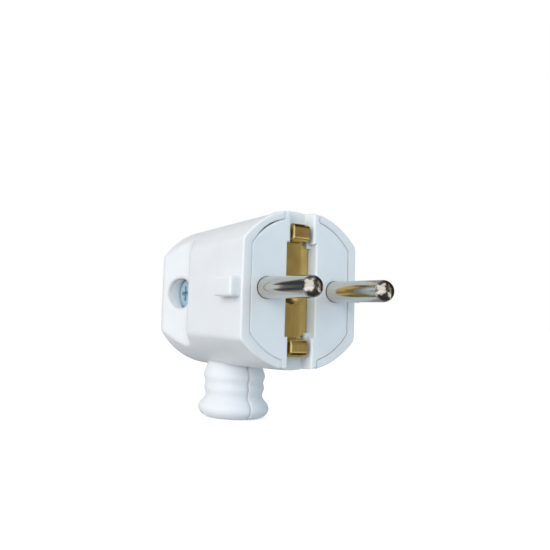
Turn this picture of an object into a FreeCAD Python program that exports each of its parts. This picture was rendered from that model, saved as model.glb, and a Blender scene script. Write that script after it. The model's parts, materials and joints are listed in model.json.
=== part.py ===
import FreeCAD, Part
import math
import os

# Angled type F plug. Millimetres, X to the right on the face, Y to the rear, Z up.
# Origin: the middle of the engagement face, half way between the pins.

# Pins
PIN_R = 2.4
PIN_NECK_R = 2.25
PIN_RELIEF = 0.25
PIN_LENGTH = 19.0
PIN_SPACING = 19.0
BARREL_R = 3.7
BARREL_LENGTH = 11.0
BARREL_GAP = 0.4
BARREL_SPOT = 0.9
WIRE_HOLE_R = 1.6
WIRE_HOLE_DEPTH = 8.0

# Body
BODY_R = 18.5
BODY_REAR_R = 18.35
REAR_DROP = 1.45
BODY_DEPTH = 43.0
FLAT_X = 15.85
FACE_FLAT_TOP = 10.76
FACE_FLAT_LOW = 11.38
REAR_FLAT_TOP = 9.91
REAR_FLAT_LOW = 9.57
FLAT_ROUND = 2.0
FLAT_END = 26.2
GROOVE_X = 11.5
GROOVE_Y = 29.8
GROOVE_ROUND = 6.0
GRIP_Y = 40.2
FRONT_ROUND = 0.4
REAR_ROUND = 1.8
WALL = 2.2
WAIST_WALL = 1.8
RIB_TOP_X = 18.5
RIB_START = 0.7
RIB_END = 8.3
RIB_HEIGHT = 4.5
RIB_ROUND = 0.6

# Contact base
BASE_R = 16.75
BASE_FLAT_X = 13.6
BASE_DEPTH = 8.0
LIP_DEPTH = 5.2
FLANGE_STEP = 0.6
EAR_HALF = 5.0
EAR_R = 18.3
EAR_REAR_R = 18.65
BASE_GAP = 0.06
BASE_EDGE = 0.45
CRESCENT_GAP = 0.35
CRESCENT_R = 10.0
CRESCENT_TURN = 36.0
BOSS_R = 3.9
BOSS_DEPTH = 3.0
CORE_DEPTH = 4.6
CORE_WALL = 2.0

# Earth strap
STRAP_FRONT = 3.2
STRAP_THICK = 0.8
STRAP_HALF = 3.93
STRAP_END_Z = 10.55
ROLL_HALF = 2.38
ROLL_Z = 13.25
ROLL_HEIGHT = 4.2
ROLL_DEPTH = 3.9
ROLL_ROUND = 1.3
ROLL_EDGE = 0.3
ROLL_GAP = 0.75
CHANNEL_HALF = 4.1
CHANNEL_STEP_Z = 10.75
NOTCH_HALF = 3.3
LEDGE_REACH = 1.1
LEDGE_HEIGHT = 0.9

# Rivet and earth terminal
RIVET_R = 1.5
RIVET_HEAD_R = 3.4
RIVET_TAIL_R = 2.4
RIVET_HEAD_H = 0.8
TERMINAL_THICK = 1.0
TERMINAL_HALF = 3.4
TERMINAL_LOW = -3.4
TERMINAL_HIGH = 9.6
EARTH_SCREW_Z = 6.0
EARTH_SCREW_DEPTH = 3.0

# Small screws
SCREW_R = 1.5
SCREW_HEAD_R = 2.6
SCREW_HEAD_H = 1.8
SLOT_WIDTH = 0.7
SLOT_DEPTH = 0.8
HEAD_EDGE = 0.3
FIT = 0.1
END_GAP = 0.4

# Case screw
CASE_Y = 35.2
CASE_R = 1.75
CASE_HEAD_R = 3.75
CASE_HEAD_H = 2.2
CASE_HEAD_ROUND = 1.0
RECESS_REACH = 1.9
RECESS_HALF = 0.45
RECESS_DEPTH = 1.2
CASE_SEAT_X = 9.9
NUT_SEAT_X = 9.4
POCKET_R = 3.95
POCKET_WALL = 1.6
CASE_BOSS_R = 3.6
NUT_FLATS = 6.0
NUT_H = 2.4

# Cord sleeve and clamp
SLEEVE_Y = 29.1
SLEEVE_TOP = -15.0
SLEEVE_SEAM = 0.35
CORD_R = 4.5
THROAT_R = 5.2
THROAT_Z = -19.1
MOUTH_ROUND = 0.8
SLEEVE_PROFILE = [
    (6.95, -18.6),
    (7.5, -20.6),
    (7.85, -22.05),
    (7.43, -23.55),
    (7.68, -24.85),
    (7.25, -26.5),
    (7.35, -27.3),
    (8.3, -28.5),
    (8.97, -30.05),
    (8.5, -31.3),
    (7.1, -32.3),
]
SLEEVE_BOTTOM = -32.4
FOOT_STEP = 0.5
CLAMP_SPAN = 7.6
CLAMP_Z = -10.5
CLAMP_HEIGHT = 4.4
CLAMP_SEAT = 3.2
CLAMP_THICK = 2.4
CLAMP_ROUND = 1.5
CLAMP_BOSS_R = 3.0
CLAMP_SCREW_LENGTH = 9.0

X, Y, Z = FreeCAD.Vector(1, 0, 0), FreeCAD.Vector(0, 1, 0), FreeCAD.Vector(0, 0, 1)
BIG = 60.0
OVERRUN = 6.0
PIN_X = PIN_SPACING / 2
CASE_Z = -REAR_DROP * CASE_Y / BODY_DEPTH


def at(x, y, z):
    return FreeCAD.Vector(x, y, z)


def rod(radius, start, end):
    axis = end - start
    return Part.makeCylinder(radius, axis.Length, start, axis)


def box(low, high):
    size = high - low
    return Part.makeBox(size.x, size.y, size.z, low)


def mirrored(shape):
    return shape.mirror(at(0, 0, 0), X)


def edges_on(shape, y):
    return [e for e in shape.Edges if max(abs(e.BoundBox.YMin - y), abs(e.BoundBox.YMax - y)) < 1e-4]


def arc_over_flats(rise):
    """Radius of the arc that spans the width between the flats with this rise in its middle."""
    return (FLAT_X ** 2 + rise ** 2) / (2 * rise)


def leaning_round(shrink):
    """Round of the body, drawn in by a wall thickness: an upper and a lower arc that lean down to the rear."""
    over = 0.2
    halves = []
    for side, face_flat, rear_flat in ((1, FACE_FLAT_TOP, REAR_FLAT_TOP), (-1, FACE_FLAT_LOW, REAR_FLAT_LOW)):
        face_r = arc_over_flats(BODY_R - face_flat)
        rear_r = arc_over_flats(BODY_REAR_R - rear_flat)
        front = at(0, 0, side * (BODY_R - face_r))
        axis = at(0, BODY_DEPTH, side * (BODY_REAR_R - rear_r) - REAR_DROP) - front
        start = front - axis * over
        length = axis.Length * (1 + 2 * over)
        taper = (face_r - rear_r) * over
        cone = Part.makeCone(face_r + taper - shrink, rear_r - taper - shrink, length, start, axis)
        low, high = sorted((0, side * BIG))
        halves.append(cone.common(box(at(-FLAT_X, -BIG, low), at(FLAT_X, BIG, high))))
    return halves[0].fuse(halves[1]).removeSplitter()


def face_disc(radius, half, start, end):
    """Disc between two depths, cut to a half width on both sides."""
    disc = rod(radius, at(0, start, 0), at(0, end, 0))
    return disc.common(box(at(-half, start, -BIG), at(half, end, BIG)))


def groove_cutter():
    """Finger groove behind the right flat: a rounded valley that runs straight through in Z."""
    start = at(FLAT_X, FLAT_END, -BIG)
    low = at(GROOVE_X, GROOVE_Y, -BIG)
    end = at(FLAT_X, GRIP_Y, -BIG)
    into = (start - low).normalize()
    out = (end - low).normalize()
    half_angle = math.acos(into.dot(out)) / 2
    leg = GROOVE_ROUND / math.tan(half_angle)
    bisector = (into + out).normalize()
    arc_mid = low + bisector * (GROOVE_ROUND / math.sin(half_angle) - GROOVE_ROUND)
    first = low + into * leg
    last = low + out * leg
    over_end = end + out * OVERRUN
    over_start = start + into * OVERRUN
    wire = Part.Wire([
        Part.LineSegment(over_start, first).toShape(),
        Part.Arc(first, arc_mid, last).toShape(),
        Part.LineSegment(last, over_end).toShape(),
        Part.LineSegment(over_end, over_start).toShape(),
    ])
    return Part.Face(wire).extrude(Z * (2 * BIG))


def cavity():
    """Room inside the casing behind the contact base, one wall thickness in from the outside."""
    start = BASE_DEPTH + BASE_GAP
    end = BODY_DEPTH - WALL
    side = FLAT_X - WALL
    waist = GROOVE_X - WAIST_WALL
    turns = [(side, start), (side, FLAT_END - WALL), (waist, GROOVE_Y), (side, end)]
    half = [at(x, y, -BIG) for x, y in turns]
    other = [at(-p.x, p.y, p.z) for p in reversed(half)]
    plan = Part.Face(Part.makePolygon(half + other + half[:1])).extrude(Z * (2 * BIG))
    return leaning_round(WALL).common(plan)


def base_outline():
    """Front block of the contact base with its two ears, which widen a little to the rear."""
    cone = Part.makeCone(EAR_R, EAR_REAR_R, LIP_DEPTH, at(0, 0, 0), Y)
    ears = cone.common(box(at(-EAR_HALF, 0, -BIG), at(EAR_HALF, LIP_DEPTH, BIG)))
    return face_disc(BASE_R, BASE_FLAT_X, 0, LIP_DEPTH).fuse(ears).removeSplitter()


def lip_opening():
    """Opening of the casing round the front block, through the rim at the ears."""
    end = LIP_DEPTH + BASE_GAP
    half = EAR_HALF + BASE_GAP
    opening = face_disc(BASE_R + BASE_GAP, BASE_FLAT_X + BASE_GAP, -1, end)
    return opening.fuse(box(at(-half, -1, -BIG), at(half, end, BIG)))


def lip_crescent():
    """Wider part of the gap round the base, a crescent at the upper left."""
    turn = math.radians(CRESCENT_TURN)
    reach = BASE_R + BASE_GAP + CRESCENT_GAP - CRESCENT_R
    middle = at(-math.sin(turn), 0, math.cos(turn)) * reach
    end = LIP_DEPTH + BASE_GAP
    disc = rod(CRESCENT_R, middle - Y, middle + Y * end)
    return disc.common(box(at(-BASE_FLAT_X - BASE_GAP, -1, 0), at(0, end, BIG)))


def base_flange(grow, start, end):
    return face_disc(BASE_R + FLANGE_STEP + grow, BASE_FLAT_X + FLANGE_STEP + grow, start, end)


def sleeve(grow):
    """Cord sleeve with two ripples and a bulb, turned about the cord axis."""
    outer = Part.BSplineCurve()
    outer.interpolate([at(r + grow, SLEEVE_Y, z) for r, z in SLEEVE_PROFILE])
    top = at(SLEEVE_PROFILE[0][0] + grow, SLEEVE_Y, SLEEVE_PROFILE[0][1])
    low = at(SLEEVE_PROFILE[-1][0] + grow, SLEEVE_Y, SLEEVE_PROFILE[-1][1])
    foot = at(low.x - FOOT_STEP, SLEEVE_Y, SLEEVE_BOTTOM)
    middle = [at(0, SLEEVE_Y, SLEEVE_BOTTOM), at(0, SLEEVE_Y, SLEEVE_TOP)]
    points = [low, foot] + middle + [at(top.x, SLEEVE_Y, SLEEVE_TOP), top]
    lines = [Part.LineSegment(a, b).toShape() for a, b in zip(points, points[1:])]
    return Part.Face(Part.Wire([outer.toShape()] + lines)).revolve(at(0, SLEEVE_Y, 0), Z, 360)


def cord_bore():
    """Way for the cord through the sleeve into the casing, with a rounded mouth and a wider throat."""
    bore = rod(CORD_R, at(0, SLEEVE_Y, SLEEVE_BOTTOM - 1), at(0, SLEEVE_Y, THROAT_Z))
    throat = rod(THROAT_R, at(0, SLEEVE_Y, THROAT_Z), at(0, SLEEVE_Y, SLEEVE_TOP))
    mouth_r = CORD_R + MOUTH_ROUND
    mouth = rod(mouth_r, at(0, SLEEVE_Y, SLEEVE_BOTTOM), at(0, SLEEVE_Y, SLEEVE_BOTTOM + MOUTH_ROUND))
    ring = Part.makeTorus(mouth_r, MOUTH_ROUND, at(0, SLEEVE_Y, SLEEVE_BOTTOM + MOUTH_ROUND), Z)
    return bore.fuse([throat, mouth.cut(ring)])


def guide_rib():
    rib = box(at(FLAT_X - 1, RIB_START, -RIB_HEIGHT / 2), at(RIB_TOP_X, RIB_END, RIB_HEIGHT / 2))
    outside = [e for e in rib.Edges if e.BoundBox.XMax > RIB_TOP_X - 1e-4]
    return rib.makeFillet(RIB_ROUND, outside)


def body():
    """Outside of the whole casing without the sleeve."""
    drum = leaning_round(0).common(box(at(-FLAT_X, 0, -BIG), at(FLAT_X, BODY_DEPTH, BIG)))
    corners = [e for e in drum.Edges if e.BoundBox.YLength > BODY_DEPTH / 2]
    drum = drum.makeFillet(FLAT_ROUND, corners)
    drum = drum.makeFillet(FRONT_ROUND, edges_on(drum, 0))
    drum = drum.makeFillet(REAR_ROUND, edges_on(drum, BODY_DEPTH))
    groove = groove_cutter()
    rib = guide_rib()
    return drum.cut(groove.fuse(mirrored(groove))).fuse([rib, mirrored(rib)]).removeSplitter()


def barrel_room(x):
    end = BASE_DEPTH + BOSS_DEPTH + BARREL_LENGTH + BARREL_GAP
    return rod(BARREL_R + BARREL_GAP, at(x, BASE_DEPTH, 0), at(x, end, 0))


def casing_halves():
    flange_room = base_flange(BASE_GAP, LIP_DEPTH - BASE_GAP, BASE_DEPTH)
    room = cavity().fuse(face_disc(BODY_R - WALL, BASE_FLAT_X, BASE_DEPTH - 1, BASE_DEPTH + 1))
    room = room.fuse([barrel_room(x) for x in (-PIN_X, PIN_X)])
    outside = body()
    halves = []
    for side, seam, depth in ((-1, 0.0, CASE_SEAT_X), (1, SLEEVE_SEAM, NUT_SEAT_X)):
        half = outside.fuse(sleeve(seam)).cut(room)
        middle = at(0, CASE_Y, CASE_Z)
        seat = middle + X * (side * depth)
        pocket_end = middle + X * (side * (depth - POCKET_WALL))
        housing = rod(POCKET_R + POCKET_WALL, pocket_end, middle + X * (side * GROOVE_X)).common(outside)
        half = half.fuse([housing, rod(CASE_BOSS_R, middle, pocket_end)])
        half = half.common(box(at(min(0, side * BIG), -BIG, -BIG), at(max(0, side * BIG), BIG, BIG)))
        half = half.cut([lip_opening(), flange_room, cord_bore(), rod(CASE_R + FIT, middle, seat)])
        if side < 0:
            half = half.cut([lip_crescent(), rod(POCKET_R, seat, seat - X * BIG)])
            for y in clamp_screw_places():
                boss = rod(CLAMP_BOSS_R, at(-BODY_R, y, CLAMP_Z), at(0, y, CLAMP_Z)).common(outside)
                seat = at(CLAMP_SEAT, y, CLAMP_Z)
                post = rod(CLAMP_BOSS_R, at(0, y, CLAMP_Z), seat)
                hole = rod(SCREW_R + FIT, seat, seat - X * CLAMP_SCREW_LENGTH)
                half = half.fuse([boss, post]).cut(hole)
        else:
            half = half.cut(hexagon(NUT_FLATS + 2 * FIT, seat, BIG))
        halves.append(half.removeSplitter())
    return halves


def clamp_screw_places():
    return [SLEEVE_Y - CLAMP_SPAN, SLEEVE_Y + CLAMP_SPAN]


def hexagon(flats, start, length):
    """Hexagonal prism along +X."""
    corner = flats / math.sqrt(3)
    turns = [math.radians(60 * i) for i in range(7)]
    points = [start + at(0, corner * math.cos(t), corner * math.sin(t)) for t in turns]
    return Part.Face(Part.makePolygon(points)).extrude(X * length)


def channel():
    """Stepped channel across the face for the earth strap, open to the rim at both ends."""
    floor = STRAP_FRONT + STRAP_THICK
    wide = box(at(-CHANNEL_HALF, -1, -CHANNEL_STEP_Z), at(CHANNEL_HALF, floor, CHANNEL_STEP_Z))
    narrow = box(at(-NOTCH_HALF, -1, -BIG), at(NOTCH_HALF, floor, BIG))
    return wide.fuse(narrow)


def contact_base():
    base = base_outline().cut(channel())
    base = base.makeFillet(BASE_EDGE, edges_on(base, 0))
    base = base.fuse(base_flange(0, LIP_DEPTH, BASE_DEPTH))
    core = face_disc(BASE_R - CORE_WALL, BASE_FLAT_X - CORE_WALL, BASE_DEPTH - CORE_DEPTH, BASE_DEPTH)
    core = core.cut(box(at(-CHANNEL_HALF - CORE_WALL, 0, -BIG), at(CHANNEL_HALF + CORE_WALL, BIG, BIG)))
    for side in (-1, 1):
        core = core.cut(rod(BOSS_R, at(side * PIN_X, 0, 0), at(side * PIN_X, BASE_DEPTH, 0)))
    base = base.cut([core, channel()])
    for z in (-1, 1):
        low = at(CHANNEL_HALF - LEDGE_REACH, STRAP_FRONT - LEDGE_HEIGHT, z * CHANNEL_STEP_Z - LEDGE_HEIGHT)
        high = at(CHANNEL_HALF + CORE_WALL / 2, STRAP_FRONT, z * CHANNEL_STEP_Z + LEDGE_HEIGHT)
        base = base.fuse(box(low, high))
    for side in (-1, 1):
        x = side * PIN_X
        base = base.fuse(rod(BOSS_R, at(x, BASE_DEPTH, 0), at(x, BASE_DEPTH + BOSS_DEPTH, 0)))
        base = base.cut(rod(PIN_NECK_R + FIT, at(x, -1, 0), at(x, BASE_DEPTH + BOSS_DEPTH, 0)))
        base = base.cut(rod(PIN_R + FIT, at(x, -1, 0), at(x, PIN_RELIEF, 0)))
    base = base.cut(rod(RIVET_R + FIT, at(0, -1, 0), at(0, BASE_DEPTH, 0)))
    rear = at(0, BASE_DEPTH, EARTH_SCREW_Z)
    base = base.cut(rod(SCREW_R + FIT, rear - Y * EARTH_SCREW_DEPTH, rear))
    return base.removeSplitter()


def contact_pin(x):
    """Pin with a round tip in front, a neck in the base and a barrel behind for the wire."""
    collar = BASE_DEPTH + BOSS_DEPTH
    end = collar + BARREL_LENGTH
    tip = at(x, PIN_R - PIN_LENGTH, 0)
    pin = rod(PIN_R, tip, at(x, 0, 0)).fuse(Part.makeSphere(PIN_R, tip))
    pin = pin.fuse(rod(PIN_NECK_R, at(x, 0, 0), at(x, collar, 0)))
    pin = pin.fuse(rod(BARREL_R, at(x, collar, 0), at(x, end, 0))).removeSplitter()
    screw_y = end - WIRE_HOLE_DEPTH / 2
    spot = rod(SCREW_HEAD_R + FIT, at(x, screw_y, pin_screw_seat()), at(x, screw_y, BIG))
    wire = rod(WIRE_HOLE_R, at(x, end - WIRE_HOLE_DEPTH, 0), at(x, end, 0))
    thread = rod(SCREW_R + FIT, at(x, screw_y, 0), at(x, screw_y, BIG))
    return pin.cut([spot, wire, thread])


def pin_screw_seat():
    return BARREL_R - BARREL_SPOT


def slotted_screw(seat, out, shank):
    """Cheese-head screw: seat is the middle of the head's underside, out points away from the work."""
    head = rod(SCREW_HEAD_R, seat, seat + out * SCREW_HEAD_H)
    heights = [((e.BoundBox.Center - seat).dot(out), e) for e in head.Edges if e.Length > SCREW_HEAD_R]
    head = head.makeChamfer(HEAD_EDGE, [e for height, e in heights if height > SCREW_HEAD_H - 1e-3])
    across = X if abs(out.x) < 0.5 else Z
    along = out.cross(across)
    corner = seat + out * (SCREW_HEAD_H - SLOT_DEPTH) - across * SCREW_HEAD_R * 2 - along * (SLOT_WIDTH / 2)
    far = corner + out * SCREW_HEAD_H + across * SCREW_HEAD_R * 4 + along * SLOT_WIDTH
    low = at(min(corner.x, far.x), min(corner.y, far.y), min(corner.z, far.z))
    high = at(max(corner.x, far.x), max(corner.y, far.y), max(corner.z, far.z))
    return head.cut(box(low, high)).fuse(rod(SCREW_R, seat, seat - out * shank)).removeSplitter()


def pin_screws():
    y = BASE_DEPTH + BOSS_DEPTH + BARREL_LENGTH - WIRE_HOLE_DEPTH / 2
    seat = pin_screw_seat()
    return Part.makeCompound([slotted_screw(at(x, y, seat), Z, seat - END_GAP) for x in (-PIN_X, PIN_X)])


def roll_block(half, z, shrink):
    """Block with rounded long edges for a rolled end, drawn in by a wall thickness."""
    back = STRAP_FRONT + STRAP_THICK
    rise = ROLL_HEIGHT / 2 - shrink
    block = box(at(-half, back - ROLL_DEPTH + shrink, z - rise), at(half, back - shrink, z + rise))
    return block.makeFillet(ROLL_ROUND - shrink, [e for e in block.Edges if e.BoundBox.XLength > half])


def rolled_end(z):
    """Strip rolled into a hollow contact, with broken edges at both ends and a gap where the curl closes."""
    roll = roll_block(ROLL_HALF, z, 0)
    ends = [e for e in roll.Edges if e.BoundBox.XLength < 1e-4]
    roll = roll.makeChamfer(ROLL_EDGE, ends).cut(roll_block(BIG, z, STRAP_THICK))
    near = z - math.copysign(ROLL_HEIGHT / 2, z)
    gap = box(at(-BIG, STRAP_FRONT - ROLL_GAP, min(near, z)), at(BIG, STRAP_FRONT, max(near, z)))
    return roll.cut(gap)


def earth_strap():
    back = STRAP_FRONT + STRAP_THICK
    strap = box(at(-STRAP_HALF, STRAP_FRONT, -STRAP_END_Z), at(STRAP_HALF, back, STRAP_END_Z))
    strap = strap.fuse(box(at(-ROLL_HALF, STRAP_FRONT, -ROLL_Z), at(ROLL_HALF, back, ROLL_Z)))
    strap = strap.fuse([rolled_end(-ROLL_Z), rolled_end(ROLL_Z)])
    strap = strap.cut(rod(RIVET_R + FIT, at(0, 0, 0), at(0, back, 0)))
    return strap.removeSplitter()


def earth_terminal():
    rear = BASE_DEPTH + TERMINAL_THICK
    plate = box(at(-TERMINAL_HALF, BASE_DEPTH, TERMINAL_LOW), at(TERMINAL_HALF, rear, TERMINAL_HIGH))
    for z in (0, EARTH_SCREW_Z):
        plate = plate.cut(rod(SCREW_R + FIT, at(0, BASE_DEPTH, z), at(0, rear, z)))
    return plate


def earth_screw():
    seat = at(0, BASE_DEPTH + TERMINAL_THICK, EARTH_SCREW_Z)
    return slotted_screw(seat, Y, TERMINAL_THICK + EARTH_SCREW_DEPTH - END_GAP)


def earth_rivet():
    """Rivet with a domed head on the strap and a flat one on the terminal plate."""
    rear = BASE_DEPTH + TERMINAL_THICK
    dome_r = (RIVET_HEAD_R ** 2 + RIVET_HEAD_H ** 2) / (2 * RIVET_HEAD_H)
    dome = Part.makeSphere(dome_r, at(0, STRAP_FRONT + dome_r - RIVET_HEAD_H, 0))
    head = dome.common(box(at(-BIG, STRAP_FRONT - BIG, -BIG), at(BIG, STRAP_FRONT, BIG)))
    shank = rod(RIVET_R, at(0, STRAP_FRONT, 0), at(0, rear, 0))
    rear_head = rod(RIVET_TAIL_R, at(0, rear, 0), at(0, rear + RIVET_HEAD_H, 0))
    return head.fuse([shank, rear_head]).removeSplitter()


def case_screw():
    """Pan-head screw along X with a cross recess."""
    seat = at(-CASE_SEAT_X, CASE_Y, CASE_Z)
    top = seat - X * CASE_HEAD_H
    head = rod(CASE_HEAD_R, seat, top)
    head = head.makeFillet(CASE_HEAD_ROUND, [e for e in head.Edges if e.BoundBox.XMax < top.x + 1e-4])
    for y, z in ((RECESS_REACH, RECESS_HALF), (RECESS_HALF, RECESS_REACH)):
        head = head.cut(box(top - at(1, y, z), top + at(RECESS_DEPTH, y, z)))
    shank = rod(CASE_R, seat, at(NUT_SEAT_X + NUT_H + END_GAP, CASE_Y, CASE_Z))
    return head.fuse(shank).removeSplitter()


def case_nut():
    seat = at(NUT_SEAT_X, CASE_Y, CASE_Z)
    return hexagon(NUT_FLATS, seat, NUT_H).cut(rod(CASE_R + FIT, seat, seat + X * NUT_H))


def cord_clamp():
    reach = CLAMP_SPAN + CLAMP_BOSS_R
    low = at(CLAMP_SEAT, SLEEVE_Y - reach, CLAMP_Z - CLAMP_HEIGHT / 2)
    high = at(CLAMP_SEAT + CLAMP_THICK, SLEEVE_Y + reach, CLAMP_Z + CLAMP_HEIGHT / 2)
    bar = box(low, high)
    ends = [e for e in bar.Edges if e.BoundBox.XLength > CLAMP_THICK - 0.01]
    bar = bar.makeFillet(CLAMP_ROUND, ends)
    for y in clamp_screw_places():
        seat = at(CLAMP_SEAT, y, CLAMP_Z)
        bar = bar.cut(rod(SCREW_R + FIT, seat, seat + X * CLAMP_THICK))
    return bar


def cord_clamp_screws():
    seat = CLAMP_SEAT + CLAMP_THICK
    shank = CLAMP_THICK + CLAMP_SCREW_LENGTH - END_GAP
    return Part.makeCompound([slotted_screw(at(seat, y, CLAMP_Z), X, shank) for y in clamp_screw_places()])


left, right = casing_halves()
pieces = {
    "casing_left": left,
    "casing_right": right,
    "contact_base": contact_base(),
    "pin_left": contact_pin(-PIN_X),
    "pin_right": contact_pin(PIN_X),
    "pin_screws": pin_screws(),
    "earth_strap": earth_strap(),
    "earth_rivet": earth_rivet(),
    "earth_terminal": earth_terminal(),
    "earth_screw": earth_screw(),
    "case_screw": case_screw(),
    "case_nut": case_nut(),
    "cord_clamp": cord_clamp(),
    "cord_clamp_screws": cord_clamp_screws(),
}
os.makedirs("parts", exist_ok=True)
for name, shape in pieces.items():
    shape.exportStep(os.path.join("parts", name + ".step"))
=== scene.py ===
import bpy
import json
import math
from mathutils import Matrix, Vector


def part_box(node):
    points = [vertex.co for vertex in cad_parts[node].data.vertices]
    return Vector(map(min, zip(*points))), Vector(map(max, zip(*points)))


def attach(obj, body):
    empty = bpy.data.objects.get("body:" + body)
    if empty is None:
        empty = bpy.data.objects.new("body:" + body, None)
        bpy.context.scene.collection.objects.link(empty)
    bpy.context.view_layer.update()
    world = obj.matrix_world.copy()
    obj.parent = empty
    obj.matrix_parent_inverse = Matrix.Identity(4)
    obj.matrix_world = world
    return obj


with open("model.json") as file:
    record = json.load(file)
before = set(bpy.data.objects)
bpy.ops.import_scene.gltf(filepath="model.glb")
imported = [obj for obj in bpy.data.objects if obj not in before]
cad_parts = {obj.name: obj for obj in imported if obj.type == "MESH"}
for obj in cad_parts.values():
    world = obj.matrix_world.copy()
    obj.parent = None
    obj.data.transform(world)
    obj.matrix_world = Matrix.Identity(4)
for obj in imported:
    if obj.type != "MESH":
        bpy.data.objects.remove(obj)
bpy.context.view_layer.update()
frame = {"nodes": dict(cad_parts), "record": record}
nodes = frame["nodes"]
MM = 0.001

# Colours of the materials
CASING_WHITE = (0.80, 0.835, 0.87)
# The base's white is bluer than the casing's. That extra blue is a painted tint of the bluish light that falls
# on the face.
BASE_WHITE_AND_PAINTED_BLUE_LIGHT = (0.80, 0.86, 0.905)
NICKEL_DARK = (0.60, 0.565, 0.50)
NICKEL_LIGHT = (0.76, 0.73, 0.67)
BRASS_DARK = (0.64, 0.47, 0.16)
BRASS_LIGHT = (0.76, 0.57, 0.22)
TARNISH = (0.90, 0.89, 0.86)
SCREW_GREY = (0.66, 0.67, 0.69)
CASE_SCREW_BLUE = (0.40, 0.60, 0.72)
UNTINTED = (1.0, 1.0, 1.0)
WHITE = (1, 1, 1, 1)
BLACK = (0, 0, 0, 1)

# Edges of the casing, in millimetres: sharper at the face, softer from the groove to the rear
FRONT_EDGE = 0.2
REAR_EDGE = 1.4
FRONT_EDGE_Y = 2.0
REAR_EDGE_Y = 22.0

# The dents of the pins lie past these places on the Y axis, in millimetres
DENTS_START = -16.4
DENTS_FULL = -17.2

# Walls that close the rear of the two pockets of the casing, in millimetres and degrees round the screw's axis
POCKET_R = 3.93
NUT_POCKET_R = 3.56
WALL_WIDTH = 1.5
WALL_FOOT = 11.4
WALL_TOP = 12.9
WALL_RISE = 0.42
SCREW_WALL_TURNS = range(-84, 85, 4)
NUT_WALL_TURNS = (-60, 0, 60)

# Studio: light levels, floor in metres, heights of the mirror cards in millimetres
SKY = 0.52
FLOOR_GLOW = 0.66
FLOOR_TONE = 0.62
FLOOR_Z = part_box("casing_left")[0].z - 0.05 * MM
FLOOR_HALF = 3.0
LAMP_ANGLE = 0.9
CARD_FOOT = -32
LOW_CARD_Z = -31.5

# Camera fitted to the standard sizes of the plug: the rows hold its right, up and back axes as columns
SENSOR_WIDTH = 36
FOCAL_LENGTH = 45.818
SHIFT_X = 0.1018
SHIFT_Y = -0.0750
CLIP_START = 0.01
CAMERA_PLACE = (-0.09461, -0.13131, -0.0065)
CAMERA_AXES = (
    (0.87258, -0.08989, -0.48013),
    (-0.48693, -0.08218, -0.86956),
    (0.03871, 0.99256, -0.11548),
)


class Look:
    """One node material: its shader, and short ways to add and join nodes."""

    def __init__(self, name):
        self.material = bpy.data.materials.new(name)
        self.material.use_nodes = True
        self.tree = self.material.node_tree
        self.shader = self.tree.nodes["Principled BSDF"]
        self.coord = self.add("ShaderNodeTexCoord").outputs["Object"]

    def add(self, kind, **settings):
        node = self.tree.nodes.new(kind)
        for key, value in settings.items():
            setattr(node, key, value)
        return node

    def join(self, output, socket):
        self.tree.links.new(output, socket)

    def paint(self, output, name):
        """Join an output to one of the shader's own sockets."""
        self.join(output, self.shader.inputs[name])

    def put(self, **values):
        """Set constants on the shader's own sockets."""
        for key, value in values.items():
            self.shader.inputs[key.replace("_", " ")].default_value = value

    def stretched(self, scale, shift=(0, 0, 0)):
        """Object coordinates, in millimetres, stretched by a scale for each axis."""
        mapping = self.add("ShaderNodeMapping")
        mapping.inputs["Scale"].default_value = [s / MM for s in scale]
        mapping.inputs["Location"].default_value = shift
        self.join(self.coord, mapping.inputs["Vector"])
        return mapping.outputs["Vector"]

    def noise(self, scale, detail=3.0, roughness=0.5, shift=(0, 0, 0)):
        """Noise between 0 and 1, with a scale for each axis."""
        node = self.add("ShaderNodeTexNoise")
        node.inputs["Scale"].default_value = 1.0
        node.inputs["Detail"].default_value = detail
        node.inputs["Roughness"].default_value = roughness
        self.join(self.stretched(scale, shift), node.inputs["Vector"])
        return node.outputs["Fac"]

    def along_y(self, start, end, low=0.0, high=1.0):
        """A low value up to a place on the Y axis, in millimetres, and a high one past the other."""
        split = self.add("ShaderNodeSeparateXYZ")
        self.join(self.coord, split.inputs["Vector"])
        span = self.add("ShaderNodeMapRange")
        span.inputs["From Min"].default_value = start * MM
        span.inputs["From Max"].default_value = end * MM
        span.inputs["To Min"].default_value = low
        span.inputs["To Max"].default_value = high
        self.join(split.outputs["Y"], span.inputs["Value"])
        return span.outputs["Result"]

    def ramp(self, value, *stops):
        """Colours or greys at places between 0 and 1."""
        node = self.add("ShaderNodeValToRGB")
        elements = node.color_ramp.elements
        while len(elements) < len(stops):
            elements.new(0.5)
        for element, (place, colour) in zip(elements, stops):
            element.position = place
            element.color = (colour, colour, colour, 1) if isinstance(colour, float) else (*colour, 1)
        self.join(value, node.inputs["Fac"])
        return node.outputs["Color"]

    def bump(self, edge, *layers):
        """Rounded edges, in millimetres, then bump layers of (height, strength, depth in millimetres)."""
        self.bevel = self.add("ShaderNodeBevel", samples=6)
        self.bevel.inputs["Radius"].default_value = edge * MM
        normal = self.bevel.outputs["Normal"]
        for height, strength, depth in layers:
            node = self.add("ShaderNodeBump")
            node.inputs["Strength"].default_value = strength
            node.inputs["Distance"].default_value = depth * MM
            self.join(height, node.inputs["Height"])
            self.join(normal, node.inputs["Normal"])
            normal = node.outputs["Normal"]
        self.paint(normal, "Normal")


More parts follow.
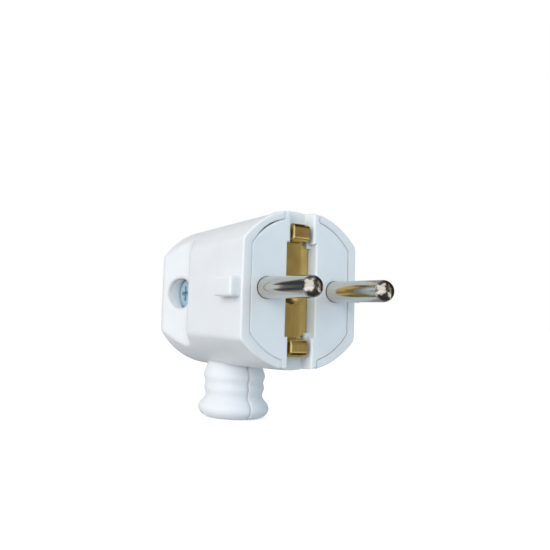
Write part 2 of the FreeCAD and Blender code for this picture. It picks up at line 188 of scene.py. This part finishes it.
def white_plastic(name, shade, edge, seed):
    """Moulded white plastic: soft gloss, a fine grain and a faint unevenness in tone."""
    look = Look(name)
    tone = look.noise((0.12, 0.12, 0.12), shift=(seed, 0, 0))
    darker = tuple(c * 0.975 for c in shade)
    look.paint(look.ramp(tone, (0.35, darker), (0.65, shade)), "Base Color")
    gloss = look.noise((0.5, 0.5, 0.5), shift=(seed, 4, 0))
    look.paint(look.ramp(gloss, (0.3, 0.30), (0.7, 0.38)), "Roughness")
    grain = look.noise((9, 9, 9), detail=2.0, shift=(seed, 0, 7))
    wave = look.noise((0.22, 0.22, 0.22), detail=1.0, shift=(0, seed, 3))
    look.bump(edge, (wave, 0.25, 0.12), (grain, 0.12, 0.012))
    look.put(IOR=1.49, Specular_IOR_Level=0.45)
    look.put(Subsurface_Weight=0.5, Subsurface_Scale=1.2 * MM, Subsurface_Radius=(1.0, 1.0, 1.0))
    return look


def nickel():
    """Polished nickel plate on turned pins: fine scratches along the pin and small dents on its tip."""
    look = Look("nickel_plate")
    streak = look.noise((5, 0.10, 5), detail=4.0, roughness=0.65)
    look.paint(look.ramp(streak, (0.3, NICKEL_DARK), (0.7, NICKEL_LIGHT)), "Base Color")
    dull = look.noise((2.2, 0.5, 2.2), detail=4.0, shift=(3, 1, 0))
    look.paint(look.ramp(dull, (0.35, 0.12), (0.75, 0.20)), "Roughness")
    turned = look.noise((0.6, 7, 0.6), detail=2.0, shift=(0, 5, 0))
    dents = look.add("ShaderNodeMath", operation="MULTIPLY")
    look.join(look.noise((1.6, 1.6, 1.6), detail=3.0, shift=(1, 0, 2)), dents.inputs[0])
    look.join(look.along_y(DENTS_START, DENTS_FULL), dents.inputs[1])
    look.bump(
        0.12,
        (streak, 0.35, 0.03),
        (turned, 0.22, 0.012),
        (dents.outputs["Value"], 0.55, 0.16),
    )
    look.put(Metallic=1.0)
    return look.material


def brass():
    """Polished strip brass with rolling marks along the strip and a little tarnish."""
    look = Look("strip_brass")
    marks = look.noise((5, 5, 0.25), detail=4.0, roughness=0.6)
    tarnish = look.noise((0.35, 0.35, 0.35), detail=5.0, roughness=0.6, shift=(2, 0, 5))
    tone = look.add("ShaderNodeMix", data_type="RGBA", blend_type="MULTIPLY")
    tone.inputs["Factor"].default_value = 1.0
    look.join(look.ramp(marks, (0.3, BRASS_DARK), (0.7, BRASS_LIGHT)), tone.inputs["A"])
    look.join(look.ramp(tarnish, (0.30, TARNISH), (0.60, UNTINTED)), tone.inputs["B"])
    look.paint(tone.outputs["Result"], "Base Color")
    look.paint(look.ramp(tarnish, (0.3, 0.26), (0.7, 0.20)), "Roughness")
    look.bump(0.12, (marks, 0.16, 0.02))
    look.put(Metallic=1.0)
    return look.material


def zinc(name, tint, smooth, rough, metal):
    """Zinc plated steel with a finely mottled surface. A coloured coat on the plate makes it less of a metal."""
    look = Look(name)
    mottle = look.noise((3, 3, 3), detail=5.0, roughness=0.7)
    darker = tuple(c * 0.8 for c in tint)
    look.paint(look.ramp(mottle, (0.3, darker), (0.7, tint)), "Base Color")
    look.paint(look.ramp(mottle, (0.3, smooth), (0.7, rough)), "Roughness")
    look.bump(0.15, (mottle, 0.2, 0.02))
    look.put(Metallic=metal)
    return look.material


casing = white_plastic("casing_plastic", CASING_WHITE, edge=FRONT_EDGE, seed=0.0)
casing_edge = casing.along_y(FRONT_EDGE_Y, REAR_EDGE_Y, FRONT_EDGE * MM, REAR_EDGE * MM)
casing.join(casing_edge, casing.bevel.inputs["Radius"])
looks = {
    "casing": casing.material,
    # The base plastic's colour carries a painted blue tint of the light on the face
    "base": white_plastic("base_plastic", BASE_WHITE_AND_PAINTED_BLUE_LIGHT, edge=0.15, seed=11.0).material,
    "pins": nickel(),
    "earth_brass": brass(),
    "screws": zinc("screw_zinc", SCREW_GREY, smooth=0.22, rough=0.36, metal=1.0),
    "case_zinc": zinc("case_screw_zinc", CASE_SCREW_BLUE, smooth=0.20, rough=0.34, metal=0.3),
}
for part in frame["record"]["subparts"]:
    piece = nodes[part["node"]]
    piece.data.materials.clear()
    piece.data.materials.append(looks[part["material_slot"]])


def added(name, points, faces, material):
    """New mesh object in the scene, its points in metres."""
    mesh = bpy.data.meshes.new(name)
    mesh.from_pydata(points, [], faces)
    mesh.materials.append(material)
    piece = bpy.data.objects.new(name, mesh)
    bpy.context.scene.collection.objects.link(piece)
    return piece


def rear_line(radius, turns):
    """Points (y, z) round the screw's axis, with 0 degrees to the rear."""
    angles = [math.radians(turn) for turn in turns]
    return [(radius * math.cos(a), radius * math.sin(a)) for a in angles]


def pocket_wall(name, side, radius, turns):
    """Closed wall behind a pocket of the casing, on the left (-1) or the right (1) side."""
    low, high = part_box("case_nut")
    axis = (low + high) / 2
    lines = [rear_line(r, turns) for r in (radius, radius + WALL_WIDTH)]
    count = len(lines[0])
    foot = [WALL_FOOT] * count
    top = [WALL_TOP + WALL_RISE * y for y, z in lines[0]]
    points = [
        (side * x * MM, axis.y + y * MM, axis.z + z * MM)
        for height in (foot, top) for line in lines for x, (y, z) in zip(height, line)
    ]
    # First points of the four long edges: inner foot, outer foot, outer top, inner top
    ring = [0, count, 3 * count, 2 * count]
    faces = [[ring[0], ring[3], ring[2], ring[1]], [corner + count - 1 for corner in ring]]
    for i in range(count - 1):
        for one, two in zip(ring, ring[1:] + ring[:1]):
            faces.append([one + i, two + i, two + i + 1, one + i + 1])
    if side > 0:
        faces = [face[::-1] for face in faces]
    piece = added(name, points, faces, looks["casing"])
    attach(piece, "root")


pocket_wall("screw_pocket_wall", -1, POCKET_R, SCREW_WALL_TURNS)
pocket_wall("nut_pocket_wall", 1, NUT_POCKET_R, NUT_WALL_TURNS)


def seen_white(tree):
    """1 where a surface or the sky is seen directly, in a reflection or through something."""
    path = tree.nodes.new("ShaderNodeLightPath")
    total = path.outputs["Is Camera Ray"]
    for name in ("Is Glossy Ray", "Is Transmission Ray"):
        more = tree.nodes.new("ShaderNodeMath")
        more.operation = "MAXIMUM"
        tree.links.new(total, more.inputs[0])
        tree.links.new(path.outputs[name], more.inputs[1])
        total = more.outputs[0]
    return total


def sky():
    """World that looks white and lights the object at a lower level."""
    world = bpy.data.worlds.new("studio")
    bpy.context.scene.world = world
    world.use_nodes = True
    tree = world.node_tree
    strength = tree.nodes.new("ShaderNodeMapRange")
    strength.inputs["To Min"].default_value = SKY
    strength.inputs["To Max"].default_value = 1.0
    tree.links.new(seen_white(tree), strength.inputs["Value"])
    tree.links.new(strength.outputs["Result"], tree.nodes["Background"].inputs["Strength"])
    tree.nodes["Background"].inputs["Color"].default_value = WHITE


def floor():
    """Pale floor that looks white and still takes the object's shadow."""
    material = bpy.data.materials.new("floor_white")
    material.use_nodes = True
    tree = material.node_tree
    shader = tree.nodes["Principled BSDF"]
    shader.inputs["Base Color"].default_value = (FLOOR_TONE, FLOOR_TONE, FLOOR_TONE, 1)
    shader.inputs["Roughness"].default_value = 0.9
    shader.inputs["Specular IOR Level"].default_value = 0.0
    shader.inputs["Emission Color"].default_value = WHITE
    glow = tree.nodes.new("ShaderNodeMath")
    glow.operation = "MULTIPLY"
    glow.inputs[1].default_value = FLOOR_GLOW
    tree.links.new(seen_white(tree), glow.inputs[0])
    tree.links.new(glow.outputs[0], shader.inputs["Emission Strength"])
    corners = lying(-FLOOR_HALF, -FLOOR_HALF, FLOOR_HALF, FLOOR_HALF, FLOOR_Z)
    plane = added("floor", corners, [(0, 1, 2, 3)], material)


def card(name, corners, shade):
    """Card, corners in millimetres, that stands in the studio to be mirrored, and nothing else."""
    material = bpy.data.materials.new(name)
    material.use_nodes = True
    shader = material.node_tree.nodes["Principled BSDF"]
    shader.inputs["Base Color"].default_value = BLACK
    shader.inputs["Specular IOR Level"].default_value = 0.0
    shader.inputs["Emission Color"].default_value = (*shade, 1)
    shader.inputs["Emission Strength"].default_value = 1.0
    plane = added(name, [Vector(c) * MM for c in corners], [(0, 1, 2, 3)], material)
    plane.visible_camera = False
    plane.visible_diffuse = False
    plane.visible_shadow = False
    plane.visible_transmission = False


def upright(x0, y0, x1, y1, high, low=CARD_FOOT):
    """Corners of a card that stands on a line in plan."""
    return [(x0, y0, low), (x1, y1, low), (x1, y1, high), (x0, y0, high)]


def lying(x0, y0, x1, y1, height):
    """Corners of a level rectangle."""
    return [(x0, y0, height), (x1, y0, height), (x1, y1, height), (x0, y1, height)]


def lamp(name, strength, direction, colour):
    """Soft sun that shines from a direction and isn't mirrored."""
    light = bpy.data.lights.new(name, "SUN")
    light.energy = strength
    light.angle = LAMP_ANGLE
    light.color = colour
    holder = bpy.data.objects.new(name, light)
    holder.visible_glossy = False
    holder.rotation_euler = Vector(direction).to_track_quat("Z", "Y").to_euler()
    bpy.context.scene.collection.objects.link(holder)


def camera():
    lens = bpy.data.cameras.new("camera")
    lens.sensor_width = SENSOR_WIDTH
    lens.lens = FOCAL_LENGTH
    lens.shift_x = SHIFT_X
    lens.shift_y = SHIFT_Y
    lens.clip_start = CLIP_START
    view = bpy.data.objects.new("camera", lens)
    view.matrix_world = Matrix.Translation(CAMERA_PLACE) @ Matrix(CAMERA_AXES).to_4x4()
    bpy.context.scene.collection.objects.link(view)
    bpy.context.scene.camera = view


sky()
floor()
lamp("key", strength=2.03, direction=(-0.91, -0.30, 0.30), colour=(1.0, 0.99, 0.98))
lamp("fill", strength=0.62, direction=(0.50, -0.85, 0.15), colour=(0.50, 0.94, 1.25))
lamp("front", strength=0.45, direction=(-0.50, -0.86, 0.10), colour=(1.0, 0.98, 0.96))
lamp("rear", strength=1.0, direction=(0.42, 0.88, 0.22), colour=UNTINTED)
card("card_left", upright(-150, 20, -22, 62, high=70), shade=(0.05, 0.055, 0.065))
card("card_strip", upright(-57, 48.5, -30, 57.4, high=11, low=-10), shade=(0.17, 0.175, 0.18))
card("card_back", upright(-22, 62, 150, 40, high=110), shade=(0.35, 0.36, 0.38))
card("card_right", upright(70, -170, 70, 50, high=360), shade=(0.035, 0.03, 0.025))
card("card_side", upright(69.5, -122, 69.5, -68, high=90), shade=(0.40, 0.38, 0.34))
card("card_top", lying(-80, -42, 120, 160, height=140), shade=(0.10, 0.10, 0.10))
card("card_front", upright(-50, -220, 70, -170, high=360), shade=(0.09, 0.08, 0.07))
card("card_low", lying(-45, -34, 60, -3, height=LOW_CARD_Z), shade=(0.04, 0.04, 0.04))
card("card_low_front", lying(-30, -220, 33, -34, height=LOW_CARD_Z), shade=(0.06, 0.055, 0.05))
card("card_low_back", lying(-60, -2, 70, 60, height=LOW_CARD_Z), shade=(0.30, 0.31, 0.33))
camera()
bpy.context.scene.view_settings.view_transform = "Standard"
